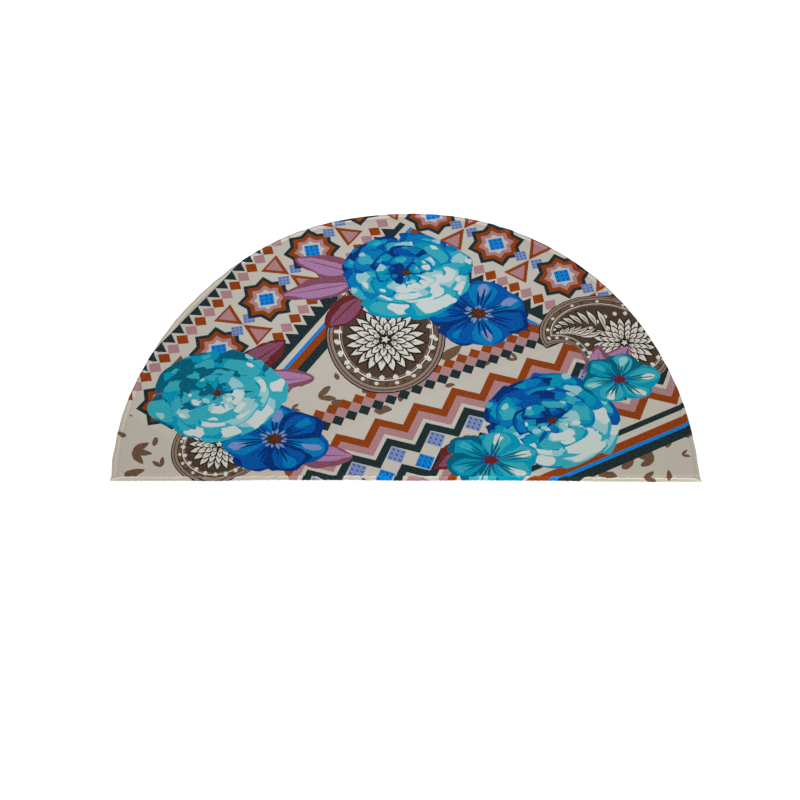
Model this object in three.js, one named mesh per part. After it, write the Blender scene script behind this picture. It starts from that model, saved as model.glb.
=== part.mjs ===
// A half-round doormat of one printed cloth, lying flat with its straight edge towards -Y.
// The cloth's edge is turned over all the way round and sewn down, which leaves a soft roll at
// the edge, a shallow stitched groove inside it, and small puckers along the roll.
// Millimetres, +Z up. The origin is on the floor, under the middle of the mat's box.
import * as THREE from "three";

// Driving dimensions.
const WIDTH = 749; // of the arc at the straight edge, where the hem's ears add a little
const DEPTH = 450; // from the straight edge to the top of the arc
const ARC_FULLNESS = 2.08; // exponent of the arc's superellipse, where 2 is a plain ellipse
const CLOTH_THICK = 3.0;
const HEM_WIDTH = 6.4; // from the outer edge to the stitched groove
const HEM_HEIGHT = 4.4; // top of the turned edge above the floor
const GROOVE_THICK = 2.5; // the cloth where the stitches draw it in
const GROOVE_WIDTH = 1.0;
const GROOVE_EASE = 2.6; // from the groove back up to the plain cloth

// The turned edge is drawn into small uneven puckers.
const PUCKERS = {
  straight: { pitch: 19, out: 0.5, lift: 0.25 },
  arc: { pitch: 30, out: 0.4, lift: 0.25 },
};
const PUCKER_SWELL = 5.3; // puckers from one strong stretch to the next

// At both corners the straight hem ends a little past the arc.
const CORNER_EAR = 2.0;
const CORNER_EAR_LENGTH = 6;

// The cut wanders off the true shape. Along the straight edge the place runs from the middle to
// the right, and on the arc the angle runs from the right-hand corner to the left-hand one.
const STRAIGHT_WANDER = [
  { place: -375, out: 1.0 },
  { place: -255, out: 0.6 },
  { place: -165, out: -1.0 },
  { place: -60, out: -1.2 },
  { place: 10, out: -0.4 },
  { place: 75, out: -1.2 },
  { place: 180, out: -0.8 },
  { place: 270, out: 0.8 },
  { place: 375, out: 1.0 },
];
const ARC_WANDER = [
  { place: 0, out: -2.2 },
  { place: 18, out: 0.0 },
  { place: 42, out: 1.6 },
  { place: 72, out: 1.2 },
  { place: 98, out: -1.9 },
  { place: 114, out: -0.4 },
  { place: 134, out: -1.8 },
  { place: 150, out: 0.0 },
  { place: 168, out: 2.8 },
  { place: 176, out: 1.4 },
  { place: 180, out: -1.0 },
];

// How finely the edge is divided.
const STRAIGHT_STATIONS = 156;
const ARC_STATIONS = 160;
const ROLL_STEPS = 5;
const SLOPE_STEPS = 2;

const ARC_LENGTH = (Math.PI * (WIDTH / 2 + DEPTH)) / 2; // near enough to space the puckers

const radians = THREE.MathUtils.degToRad;
const smooth = (t) => THREE.MathUtils.smoothstep(t, 0, 1);

// How far the cut lies outside the true shape at a place in one of the tables.
function wander(table, place) {
  const next = Math.max(1, table.findIndex((row) => row.place >= place));
  const from = table[next - 1];
  const to = table[next];
  const share = (place - from.place) / (to.place - from.place);
  return THREE.MathUtils.lerp(from.out, to.out, smooth(share));
}

// The arc of the outline set in from the edge by inset, at a share from 0, right, to 1, left.
function arcPoint(inset, share) {
  const acrossHalf = WIDTH / 2 - inset;
  const up = DEPTH - inset;
  const start = Math.asin((inset / up) ** (ARC_FULLNESS / 2));
  const angle = THREE.MathUtils.lerp(start, Math.PI - start, share);
  const cos = Math.cos(angle);
  const x = acrossHalf * Math.sign(cos) * Math.abs(cos) ** (2 / ARC_FULLNESS);
  const y = up * Math.max(Math.sin(angle), 0) ** (2 / ARC_FULLNESS);
  const outward = new THREE.Vector2(x / WIDTH ** 2, y / (2 * DEPTH) ** 2).normalize();
  const ear = CORNER_EAR * (1 - smooth((y - inset) / CORNER_EAR_LENGTH));
  const off = wander(ARC_WANDER, share * 180);
  return {
    x: x + off * outward.x + Math.sign(x) * ear,
    y: y + off * outward.y * smooth(y / CORNER_EAR_LENGTH),
    outward,
  };
}

// The pucker at a length along the edge, from -1, drawn in, to 1, puffed out.
function puckerWave(length, pitch) {
  const turns = length / pitch;
  const swell = 0.6 + 0.4 * Math.cos((turns * 2 * Math.PI) / PUCKER_SWELL);
  return swell * Math.sin(turns * 2 * Math.PI);
}

// One closed ring of stations round the mat, at an inset and a height that may be puckered.
function ring({ inset, z, pucker }) {
  const points = [];
  const right = arcPoint(inset, 0).x;
  const left = arcPoint(inset, 1).x;
  for (let i = 0; i < STRAIGHT_STATIONS; i++) {
    const share = i / STRAIGHT_STATIONS;
    const wave = pucker * puckerWave(share * WIDTH, PUCKERS.straight.pitch);
    const x = THREE.MathUtils.lerp(left, right, share);
    const out = wander(STRAIGHT_WANDER, x) + wave * PUCKERS.straight.out;
    points.push(new THREE.Vector3(x, inset - out, z + wave * PUCKERS.straight.lift));
  }
  for (let i = 0; i < ARC_STATIONS; i++) {
    const share = i / ARC_STATIONS;
    const { x, y, outward } = arcPoint(inset, share);
    const wave = pucker * puckerWave(share * ARC_LENGTH, PUCKERS.arc.pitch);
    const out = wave * PUCKERS.arc.out;
    points.push(new THREE.Vector3(x + out * outward.x, y + out * outward.y, z + wave * PUCKERS.arc.lift));
  }
  return points;
}

// The hem's section: from the floor round the roll, down to the groove, and up to the plain cloth.
function hemSection() {
  const rows = [];
  for (let k = 0; k <= ROLL_STEPS; k++) {
    const turn = radians(-90 + (180 * k) / ROLL_STEPS);
    rows.push({
      inset: (HEM_WIDTH / 2) * (1 - Math.cos(turn)),
      z: (HEM_HEIGHT / 2) * (1 + Math.sin(turn)),
      pucker: k === 0 ? 0 : k / ROLL_STEPS,
    });
  }
  for (let k = 1; k <= SLOPE_STEPS; k++) {
    const fall = smooth(k / SLOPE_STEPS);
    rows.push({
      inset: THREE.MathUtils.lerp(HEM_WIDTH / 2, HEM_WIDTH, k / SLOPE_STEPS),
      z: THREE.MathUtils.lerp(HEM_HEIGHT, GROOVE_THICK, fall),
      pucker: 1 - fall,
    });
  }
  rows.push({ inset: HEM_WIDTH + GROOVE_WIDTH, z: GROOVE_THICK, pucker: 0 });
  rows.push({ inset: HEM_WIDTH + GROOVE_WIDTH + GROOVE_EASE, z: CLOTH_THICK, pucker: 0 });
  return rows;
}

// Joins the rings into a skin and closes it with a flat underside and a flat top.
function matGeometry() {
  const rings = hemSection().map(ring);
  const count = rings[0].length;
  const positions = rings.flat().flatMap((p) => [p.x, p.y, p.z]);
  const index = [];
  for (let r = 0; r + 1 < rings.length; r++) {
    for (let i = 0; i < count; i++) {
      const a = r * count + i;
      const b = r * count + ((i + 1) % count);
      index.push(a, b, b + count, a, b + count, a + count);
    }
  }
  const closeWith = (ringNumber, z, facesUp) => {
    const centre = positions.length / 3;
    positions.push(0, DEPTH / 2, z);
    for (let i = 0; i < count; i++) {
      const a = ringNumber * count + i;
      const b = ringNumber * count + ((i + 1) % count);
      index.push(centre, ...(facesUp ? [a, b] : [b, a]));
    }
  };
  closeWith(0, 0, false);
  closeWith(rings.length - 1, CLOTH_THICK, true);
  const geometry = new THREE.BufferGeometry();
  geometry.setAttribute("position", new THREE.Float32BufferAttribute(positions, 3));
  geometry.setIndex(index);
  geometry.computeBoundingBox();
  const middle = geometry.boundingBox.getCenter(new THREE.Vector3());
  return geometry.translate(-middle.x, -middle.y, 0);
}

// The printed cloth, seen from a distance: a warm grey beige, matt.
function printedCloth() {
  return new THREE.MeshStandardMaterial({ color: 0xb4afa5, roughness: 0.9, metalness: 0 });
}

const mat = new THREE.Mesh(matGeometry(), printedCloth());
mat.name = "mat";

const doormat = new THREE.Group();
doormat.add(mat);

export default doormat;
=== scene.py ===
import math
import random

import bpy
import numpy as np
from mathutils import Matrix, Vector
from mathutils.geometry import delaunay_2d_cdt


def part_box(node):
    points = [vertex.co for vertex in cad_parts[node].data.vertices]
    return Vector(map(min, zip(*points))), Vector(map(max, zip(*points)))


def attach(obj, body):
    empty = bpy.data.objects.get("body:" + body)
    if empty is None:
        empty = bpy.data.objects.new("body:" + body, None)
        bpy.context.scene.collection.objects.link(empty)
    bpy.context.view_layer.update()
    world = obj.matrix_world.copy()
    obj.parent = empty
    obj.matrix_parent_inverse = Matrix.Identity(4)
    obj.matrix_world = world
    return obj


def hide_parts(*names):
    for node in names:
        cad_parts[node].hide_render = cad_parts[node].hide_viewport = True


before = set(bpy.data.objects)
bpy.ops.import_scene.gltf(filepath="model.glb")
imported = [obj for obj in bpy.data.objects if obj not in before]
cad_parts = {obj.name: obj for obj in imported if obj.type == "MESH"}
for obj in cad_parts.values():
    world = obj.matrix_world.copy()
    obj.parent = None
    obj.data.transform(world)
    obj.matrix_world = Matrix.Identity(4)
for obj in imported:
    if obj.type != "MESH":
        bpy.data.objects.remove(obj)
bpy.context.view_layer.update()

MM = 0.001
TAU = 2 * math.pi
TINY = 1e-9

# Sizes of the mat in millimetres, as its maker cuts and sews it.
WIDTH = 749
HALF = WIDTH / 2
DEPTH = 450
ARC_FULLNESS = 2.08
CLOTH_THICK = 3.0
HEM_WIDTH = 6.4
HEM_HEIGHT = 4.4
GROOVE_THICK = 2.5
GROOVE_WIDTH = 1.0
GROOVE_EASE = 2.6
TURNED_UNDER = 14.0
BACK_HEIGHT = 0.5
CORNER_EAR = 2.0
CORNER_EAR_LENGTH = 6.0
PUCKERS = {
    "straight": {"pitch": 19.0, "out": 0.5, "lift": 0.25},
    "arc": {"pitch": 30.0, "out": 0.4, "lift": 0.25},
}
PUCKER_SWELL = 5.3
PUCKER_MEAN = 0.6
CRINKLE_PITCH = 7.3
CRINKLE = 0.5
ARC_LENGTH = math.pi * (HALF + DEPTH) / 2

# Each as where it begins and the length of its smooth step: how far in from the edge the wander of
# the cut dies out, how far from a corner the puckers and the ridge rise, and where a corner's ear ends.
WANDER_FADE = (12, 80)
CORNER_CALM = (8, 20)
RIDGE_RISE = (0, 12)
EAR_FADE = (0, 40)
DEEPEST_INSET = 180
DEEPEST_ANGLE = 120
NEWTON_STEPS = 14

# How far the cut wanders outwards. Places run along the straight edge in millimetres from its
# middle, and along the arc in degrees from the right-hand corner to the left-hand one.
STRAIGHT_WANDER = (
    (-375, 1.0), (-255, 0.6), (-165, -1.0), (-60, -1.2), (10, -0.4),
    (75, -1.2), (180, -0.8), (270, 0.8), (375, 1.0),
)
ARC_WANDER = (
    (0, -2.2), (18, 0.0), (42, 1.6), (72, 1.2), (98, -1.9), (114, -0.4),
    (134, -1.8), (150, 0.0), (168, 2.8), (176, 1.4), (180, -1.0),
)

# The straight hem stands up in a ridge behind a low shelf. By degrees round its roll, from below
# to the top: how far it lies further in, and how much lower, than the even roll of the arc.
RIDGE = (
    (-70, 0, 0), (-30, 0, 0.4), (0, 0.3, 0.8), (30, 1.9, 1.1), (45, 2.5, 1.1), (60, 2.3, 0.6), (90, 1.5, 0),
)
SLOPE_STEPS = 9
ROLL_STEPS = 37


def smooth(share):
    """The smooth step from 0 to 1."""
    share = np.clip(share, 0, 1)
    return share * share * (3 - 2 * share)


def risen(place, rise):
    """The smooth step at a place, from where it begins and over its length."""
    return smooth((place - rise[0]) / rise[1])


def wander(table, place):
    """How far the cut lies outside the true shape at each place of one of the tables."""
    places, outs = np.array(table).T
    row = np.clip(np.searchsorted(places, place) - 1, 0, len(places) - 2)
    share = (place - places[row]) / (places[row + 1] - places[row])
    return outs[row] + (outs[row + 1] - outs[row]) * smooth(share)


def hem_section():
    """The hem's section by the length of cloth from where it begins.

    Its rows are inset, height, pucker, and how far in and down the straight edge's ridge moves it."""
    begin = HEM_WIDTH + GROOVE_WIDTH + GROOVE_EASE
    degrees, ridge_in, ridge_down = np.array(RIDGE).T
    step = np.linspace(0, 1, SLOPE_STEPS)
    up = smooth(step)
    level = 0 * step
    down = CLOTH_THICK + (GROOVE_THICK - CLOTH_THICK) * up
    ease = (begin - GROOVE_EASE * step, down, level, level, level)
    climb = GROOVE_THICK + (HEM_HEIGHT - GROOVE_THICK) * up
    rise = (HEM_WIDTH - HEM_WIDTH / 2 * step, climb, up, ridge_in[-1] * up, level)
    turned = np.linspace(90, -90, ROLL_STEPS)[1:]
    turn = np.radians(turned)
    roll = (
        HEM_WIDTH / 2 * (1 - np.cos(turn)), HEM_HEIGHT / 2 * (1 + np.sin(turn)), smooth(turned / 180 + 0.5),
        np.interp(turned, degrees, ridge_in), np.interp(turned, degrees, ridge_down),
    )
    under = ([TURNED_UNDER], [0.0], [0.0], [0.0], [0.0])
    rows = [np.concatenate(row) for row in zip(ease, rise, roll, under)]
    length = np.concatenate([[0], np.cumsum(np.hypot(np.diff(rows[0]), np.diff(rows[1])))])
    return begin, length, rows


HEM_BEGIN, HEM_LENGTH, HEM_ROWS = hem_section()
FLAT_RIM = HEM_LENGTH[-1] - HEM_BEGIN  # cloth outside the finished shape while it lies flat


def rounded(share):
    """The superellipse's power of a cosine or sine that keeps its sign."""
    return np.sign(share) * np.abs(share) ** (2 / ARC_FULLNESS)


def arc_start(inset):
    """The angle at which the arc, set in by inset, meets the straight edge, set in as much."""
    inset = np.maximum(inset, 0)
    return np.arcsin((inset / (DEPTH - inset)) ** (ARC_FULLNESS / 2))


def arc_inset(x, y):
    """How far each point lies inside the arc, by Newton's method on the set-in superellipse."""
    inset = np.zeros_like(x)
    for _ in range(NEWTON_STEPS):
        across = (np.abs(x) / (HALF - inset)) ** ARC_FULLNESS
        up = (np.abs(y) / (DEPTH - inset)) ** ARC_FULLNESS
        slope = ARC_FULLNESS * (across / (HALF - inset) + up / (DEPTH - inset))
        inset = inset - (across + up - 1) / np.maximum(slope, TINY)
        inset = np.clip(inset, -2 * FLAT_RIM, DEEPEST_INSET)
    return inset


def arc_angle(x, y, inset):
    """The superellipse's angle of each point that lies on the arc set in by inset."""
    up = (np.maximum(y, 0) / (DEPTH - inset)) ** (ARC_FULLNESS / 2)
    across = np.sign(x) * (np.abs(x) / (HALF - inset)) ** (ARC_FULLNESS / 2)
    return np.arctan2(up, across)


def fold(flat):
    """Turns the rim of the flat cloth over: returns each point's finished place before the cut's wander.

    Each point keeps its share of the way along its edge, and slides along the hem's section."""
    x, y = flat[:, 0], flat[:, 1]
    arc_depth = arc_inset(x, y)
    straight = (y < 0) | (y < arc_depth)
    depth = np.where(straight, y, arc_depth)
    length = HEM_BEGIN - depth
    in_hem = length > 0
    hem = [np.interp(length, HEM_LENGTH, row) for row in HEM_ROWS]
    inset = np.where(in_hem, hem[0], depth)
    height = np.where(in_hem, hem[1], CLOTH_THICK)
    pucker, ridge_in, ridge_down = (np.where(in_hem, row, 0) for row in hem[2:])
    start, new_start = arc_start(depth), arc_start(inset)
    half = (HALF - np.maximum(depth, 0)) * rounded(np.cos(start))
    new_half = (HALF - inset) * rounded(np.cos(new_start))
    share = (arc_angle(x, y, depth) - start) / (math.pi - 2 * start)
    angle = new_start + share * (math.pi - 2 * new_start)
    arc_x = (HALF - inset) * rounded(np.cos(angle))
    arc_y = (DEPTH - inset) * rounded(np.sin(angle))
    new_x = np.where(straight, x / half * new_half, arc_x)
    new_y = np.where(straight, inset, arc_y)
    new_x = np.where(in_hem, new_x, x)
    new_y = np.where(in_hem, new_y, y)
    ridge = np.stack([ridge_in, ridge_down]) * straight
    return np.stack([new_x, new_y, height], 1), inset, pucker, straight, ridge


def pucker_wave(length, pitch):
    """The pucker at a length along the edge, from -1, drawn in, to 1, puffed out."""
    turns = length / pitch
    swell = PUCKER_MEAN + (1 - PUCKER_MEAN) * np.cos(turns * TAU / PUCKER_SWELL)
    return swell * np.sin(turns * TAU)


def laid(flat):
    """Where each point of the flat cloth lies once the hem is sewn, in metres in the mat's frame."""
    place, inset, pucker, straight, ridge = fold(flat)
    x, y, z = place.T
    arc_depth = arc_inset(x, y)
    angle = arc_angle(x, y, np.minimum(arc_depth, DEEPEST_ANGLE))
    outward = np.stack([x / WIDTH**2, y / (2 * DEPTH) ** 2], 1)
    outward /= np.maximum(np.linalg.norm(outward, axis=1, keepdims=True), TINY)
    arc_out = wander(ARC_WANDER, np.degrees(angle)) * (1 - risen(arc_depth, WANDER_FADE))
    straight_out = wander(STRAIGHT_WANDER, x) * (1 - risen(y, WANDER_FADE))
    corner = HALF - np.abs(x)
    ear = CORNER_EAR * (1 - smooth((y - inset) / CORNER_EAR_LENGTH)) * (1 - risen(corner, EAR_FADE))
    away = risen(np.hypot(corner, y), CORNER_CALM)
    waves = PUCKERS["straight"], PUCKERS["arc"]
    along = x + HALF, ARC_LENGTH * angle / math.pi
    wave = [pucker_wave(run, kind["pitch"]) * pucker * away for run, kind in zip(along, waves)]
    ways = ("out", "lift")
    out, lift = (np.where(straight, wave[0] * waves[0][way], wave[1] * waves[1][way]) for way in ways)
    crinkle = CRINKLE * np.sqrt(pucker) * away * np.sin(along[0] / CRINKLE_PITCH * TAU + 3 * wave[0])
    ridge = ridge * risen(corner - y, RIDGE_RISE)
    out = out + straight * crinkle - ridge[0]
    lift = lift - ridge[1]
    along_arc = arc_out + np.where(straight, 0, out)
    x = x + outward[:, 0] * along_arc + np.sign(x) * ear
    y = y + outward[:, 1] * along_arc - straight_out - np.where(straight, out, 0)
    return np.stack([x, y - DEPTH / 2, z + lift], 1) * MM


# The print's inks, in sRGB numbers.
GROUND = (181, 174, 162)
CREAM = (184, 178, 166)
SLATE = (32, 46, 48)
ROSE = (160, 120, 122)
RUST = (134, 60, 20)
SKY = (16, 120, 198)
PERIWINKLE = (112, 131, 176)
SEED = (28, 44, 72)
BROWN = (102, 77, 60)
UMBER = (74, 58, 48)
TAUPE = (132, 116, 104)
SOOT = (38, 32, 26)
BONE = (200, 196, 186)
NAVY = (4, 48, 108)
ROYAL = (6, 78, 150)
AZURE = (8, 112, 166)
TURQUOISE = (8, 138, 166)
LAGOON = (50, 156, 170)
MIST = (138, 184, 188)
FOAM = (188, 198, 193)
PINE = (6, 90, 112)
MAUVE = (158, 115, 150)
PLUM = (124, 72, 92)
MAROON = (96, 38, 40)
OLIVE = (60, 50, 20)

INKS = (
    GROUND, CREAM, SLATE, ROSE, RUST, SKY, PERIWINKLE, SEED, BROWN, UMBER, TAUPE, SOOT, BONE,
    NAVY, ROYAL, AZURE, TURQUOISE, LAGOON, MIST, FOAM, PINE, MAUVE, PLUM, MAROON, OLIVE,
)

# Ramps of tones, from the shaded side of a petal or leaf to its lit side.
BLUES = (NAVY, ROYAL, AZURE, TURQUOISE, LAGOON, MIST, FOAM)
TEALS = (PINE, PINE, TURQUOISE, LAGOON, LAGOON, MIST, FOAM)
DEEPS = (NAVY, NAVY, ROYAL, ROYAL, AZURE, PERIWINKLE)
MAUVES = (PLUM, MAUVE)
MAROONS = (MAROON, PLUM)


class Print:
    """Shapes in the order in which they are laid down, each an ink and an outline on the flat cloth."""

    def __init__(self):
        self.shapes = []

    def lay(self, ink, outline):
        self.shapes.append((ink, outline))

    def petal(self, ink, at, angle, root, tip, width, **form):
        """Lays a petal or leaf with a softened edge."""
        self.lay(ink, soften(petal_of(at, angle, root, tip, width, **form)))


def placed(x, y, turn=0.0, size=1.0, squash=1.0):
    """Sets a drawing's own units down on the flat cloth, squashed along their second axis and turned."""
    c = math.cos(math.radians(turn))
    s = math.sin(math.radians(turn))

    def at(u, v):
        v *= squash
        return x + size * (u * c - v * s), y + size * (u * s + v * c)

    return at


def shifted(at, x, y):
    """The same drawing units, counted from another middle."""
    return lambda u, v: at(x + u, y + v)


def soften(outline):
    """Cuts every corner of an outline once, which rounds a hand-drawn edge."""
    soft = []
    for (ax, ay), (bx, by) in zip(outline, outline[1:] + outline[:1]):
        soft.append((0.75 * ax + 0.25 * bx, 0.75 * ay + 0.25 * by))
        soft.append((0.25 * ax + 0.75 * bx, 0.25 * ay + 0.75 * by))
    return soft


def star_of(at, u, v, outer, inner, points):
    radii = (outer, inner) * points
    angles = [math.pi * k / points for k in range(2 * points)]
    return [at(u + r * math.cos(a), v + r * math.sin(a)) for r, a in zip(radii, angles)]


def ring_of(at, u, v, radius, sides):
    return star_of(at, u, v, radius, radius, sides // 2)


def strip_of(at, u0, v0, u1, v1):
    return [at(u0, v0), at(u1, v0), at(u1, v1), at(u0, v1)]


def diamond_of(at, u, v, half_u, half_v):
    return [at(u + half_u, v), at(u, v + half_v), at(u - half_u, v), at(u, v - half_v)]


def petal_of(at, angle, root, tip, width, crown=1.0, blunt=1.0, sway=0.0, side=0.0, steps=6, rough=None):
    """A petal or leaf from root to tip along an angle. A crown over 1 is widest past its middle, and
    blunt under 1 rounds its ends. Sway bends it, side moves it across, and rough is a seeded hand."""
    c = math.cos(angle)
    s = math.sin(angle)
    edges = []
    for edge in (-1, 1):
        line = []
        for k in range(steps + 1):
            t = k / steps
            full = max(math.sin(math.pi * t**crown), 0.0) ** blunt
            half = width / 2 * full * (1 + (rough.uniform(-0.14, 0.14) if rough else 0))
            frill = rough.uniform(-0.06, 0.06) if rough and 2 * k > steps else 0
            along = root + (tip - root) * (t + frill)
            across = (tip - root) * sway * t * t + side * width * full + edge * half
            line.append(at(along * c - across * s, along * s + across * c))
        edges.append(line)
    return edges[0] + edges[1][-2:0:-1]


def blot_of(at, angle, reach, length, width, hand, sides=12):
    """A blot of another tone, long along an angle, broad at its far end and uneven at its edge."""
    c = math.cos(angle)
    s = math.sin(angle)
    outline = []
    for k in range(sides):
        a = TAU * k / sides
        r = hand.uniform(0.62, 1.25)
        u = reach + length / 2 * r * math.cos(a)
        v = width / 2 * r * math.sin(a) * (1 + 0.4 * math.cos(a))
        outline.append(at(u * c - v * s, u * s + v * c))
    return soften(outline)


def tone_of(inks, share):
    return inks[min(len(inks) - 1, max(0, int(share * len(inks))))]


def overlapping(count):
    """The order in which a ring of petals is laid, every other one on top of its neighbours."""
    return list(range(0, count, 2)) + list(range(1, count, 2))


# A full blossom's rings of petals from the outside in: how many, their tone, and their tip, root
# and width as shares of its radius.
BLOSSOM_RINGS = (
    (8, 0.44, 1.00, 0.30, 0.86), (7, 0.62, 0.82, 0.22, 0.74), (6, 0.46, 0.63, 0.16, 0.60),
    (5, 0.60, 0.45, 0.08, 0.46), (4, 0.26, 0.27, 0.02, 0.30),
)

# The blots on a petal: the place, length and width of each as shares of it, and how much paler it is.
PETAL_BLOTS = ((0.66, 0.62, 0.62, 0.16), (0.76, 0.4, 0.36, 0.3), (0.88, 0.16, 0.2, 0.44))


def blossom_petal(cloth, at, hand, inks, angle, lit, tip, root, width):
    """One broad petal: a dark rim, its own tone, lighter blots towards its tip and a dark fold or two."""
    tip *= hand.uniform(0.9, 1.06)
    width *= hand.uniform(0.84, 1.16)
    span = tip - root
    form = {"crown": 1.9, "blunt": 0.6, "sway": hand.uniform(-0.2, 0.2), "rough": hand}
    cloth.petal(tone_of(inks, lit - 0.18), at, angle, root, tip, width, steps=12, **form)
    form["side"] = hand.uniform(-0.05, 0.05)
    cloth.petal(tone_of(inks, lit), at, angle, root, tip * 0.96, width * 0.8, steps=11, **form)
    for place, length, across, lift in PETAL_BLOTS:
        if hand.random() < 0.7:
            toward = angle + hand.uniform(-0.14, 0.14) / max(tip, 0.3)
            reach = root + span * place * hand.uniform(0.86, 1.06)
            blot = blot_of(at, toward, reach, span * length, width * across, hand)
            cloth.lay(tone_of(inks, lit + lift), blot)
    for fold in range(hand.choice((0, 1, 2))):
        toward = angle + hand.uniform(-0.3, 0.3)
        reach = root + span * hand.uniform(0.4, 0.8)
        crease = petal_of(at, toward, root * 0.8, reach, width * 0.12, rough=hand)
        cloth.lay(tone_of(inks, lit - 0.3), crease)


def full_blossom(cloth, at, hand, inks=BLUES, light=math.radians(-50)):
    """A full round blossom of broad ringed petals in flat tones, paler towards the light."""
    cloth.lay(tone_of(inks, 0.12), ring_of(at, 0, 0, 0.6, 20))
    for petals, tone, *reach in BLOSSOM_RINGS:
        turn = hand.uniform(0, TAU)
        for k in overlapping(petals):
            angle = turn + TAU * (k + hand.uniform(-0.2, 0.2)) / petals
            lit = tone + 0.32 * math.cos(angle - light) + hand.uniform(-0.13, 0.13)
            blossom_petal(cloth, at, hand, inks, angle, lit, *reach)
    for k in range(7):
        cloth.lay((OLIVE, MAROON)[k % 2], petal_of(at, TAU * k / 7, 0, 0.085, 0.05, steps=4))


def open_blossom(cloth, at, hand, inks=DEEPS, petals=7, tuft=PERIWINKLE, heart=OLIVE):
    """A flat open blossom: broad petals with a paler blot and a dark fold each, round a tufted heart."""
    turn = hand.uniform(0, TAU)
    for k in overlapping(petals):
        angle = turn + TAU * (k + hand.uniform(-0.12, 0.12)) / petals
        tip = hand.uniform(0.9, 1.05)
        base = hand.choice((0.05, 0.2, 0.4))
        form = {"crown": 1.5, "blunt": 0.75, "sway": hand.uniform(-0.1, 0.1), "rough": hand}
        cloth.petal(tone_of(inks, base), at, angle, 0.02, tip, 0.84, steps=9, **form)
        cloth.petal(tone_of(inks, base + 0.3), at, angle, 0.1, tip * 0.94, 0.56, side=0.08, steps=8, **form)
        cloth.lay(tone_of(inks, base + 0.55), blot_of(at, angle + 0.06, tip * 0.66, tip * 0.4, 0.2, hand))
        for lean in (-0.16, 0.03, 0.2):
            fold = petal_of(at, angle + lean, 0.1, tip * hand.uniform(0.5, 0.85), 0.05, rough=hand)
            cloth.lay(tone_of(inks, base - 0.2), fold)
    for k in range(14):
        angle = TAU * (k + hand.uniform(-0.3, 0.3)) / 14
        cloth.lay(tuft, petal_of(at, angle, 0.06, hand.uniform(0.2, 0.32), 0.06, crown=1.4, steps=4))
    cloth.lay(heart, soften(star_of(at, 0, 0, 0.2, 0.11, 8)))
    cloth.lay(MAROON, soften(star_of(at, 0.02, 0.02, 0.1, 0.06, 6)))


def leaf(cloth, at, hand, turn, length, width, inks):
    """A broad leaf in a dark and a light half, with a few blots and its vein."""
    dark, light = inks
    angle = math.radians(turn)
    form = {"crown": 0.85, "blunt": 0.85, "sway": hand.uniform(-0.14, 0.14)}
    parts = ((dark, 0, 1, 1, 0, 10), (light, 0.06, 0.95, 0.6, 0.14, 8), (light, 0.2, 0.78, 0.2, -0.34, 6))
    for ink, root, tip, broad, side, steps in parts:
        reach = (length * root, length * tip, width * broad)
        cloth.petal(ink, at, angle, *reach, side=side, steps=steps, rough=hand, **form)
    cloth.lay(dark, petal_of(at, angle, 0, length * 0.9, width * 0.05, steps=6, **form))


def stripes(cloth, at, start, end, edge, rows):
    """Long stripes side by side from one edge on, each a row of an ink and a width."""
    for ink, width in rows:
        cloth.lay(ink, strip_of(at, start, edge, end, edge + width))
        edge += width


def seeded_cell(cloth, at, u, v, half, ink):
    """A square on point, sown with small dark marks."""
    cloth.lay(ink, diamond_of(at, u, v, half, half))
    step = half / 3
    for i in (-1, 0, 1):
        for j in (-1, 0, 1):
            seed = diamond_of(at, u + (i - j) * step, v + (i + j) * step, half * 0.085, half * 0.15)
            cloth.lay(SEED, seed)


STAR_PERIOD = 106
STAR_RADIUS = 41
TOOTH = 19


def eight_star(cloth, at, u, v):
    """An eight-pointed star of two crossed squares, in rings of colour round a seeded cell."""
    for share, ink in ((1.0, SLATE), (0.82, RUST), (0.62, ROSE), (0.44, CREAM)):
        cloth.lay(ink, star_of(at, u, v, STAR_RADIUS * share, STAR_RADIUS * share * 0.765, 8))
    seeded_cell(cloth, at, u, v, STAR_RADIUS * 0.34, SKY)


def hourglass(cloth, at, u):
    """Two triangles point to point, with a seeded cell to each side of where they meet."""
    for side in (-1, 1):
        cloth.lay(RUST, [at(u, 0), at(u - 18, side * 37), at(u + 18, side * 37)])
        cloth.lay(ROSE, [at(u, side * 11), at(u - 11.5, side * 34), at(u + 11.5, side * 34)])
        seeded_cell(cloth, at, u + side * 13, 0, 11, PERIWINKLE)


def toothed_edges(cloth, at, start, end, half):
    """A row of dark teeth along both edges of a band, and a row of small squares inside them."""
    for k in range(int((end - start) / TOOTH)):
        u = start + k * TOOTH
        for side in (-1, 1):
            tooth = [at(u, side * half), at(u + TOOTH, side * half), at(u + TOOTH / 2, side * (half - 16))]
            cloth.lay(SLATE, tooth)
            cloth.lay((RUST, ROSE)[k % 2], diamond_of(at, u + TOOTH, side * (half - 20), TOOTH * 0.5, 11))


def star_band(cloth, at, start, end, width, phase):
    """A band of eight-pointed stars and hourglasses between two toothed edges."""
    half = width / 2
    cloth.lay(CREAM, strip_of(at, start, -half, end, half))
    toothed_edges(cloth, at, start, end, half)
    u = start + phase
    while u < end + STAR_RADIUS:
        eight_star(cloth, at, u, 0)
        hourglass(cloth, at, u + STAR_PERIOD / 2)
        u += STAR_PERIOD


def zigzag(cloth, at, ink, start, end, v, pitch, rise, thick):
    """One zigzag line along a band, of leaning blocks."""
    for k in range(int((end - start) / pitch)):
        u = start + k * pitch
        low, high = (v, v + rise) if k % 2 == 0 else (v + rise, v)
        cloth.lay(ink, [at(u, low), at(u + pitch, high), at(u + pitch, high + thick), at(u, low + thick)])


FLAME_PITCH = 28
FLAME_RISE = 25
HALF_FLAME = ((RUST, 14), (ROSE, 14), (CREAM, 7), (SLATE, 14))
FLAMES = (*HALF_FLAME, (CREAM, 30), *HALF_FLAME[::-1])


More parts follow.
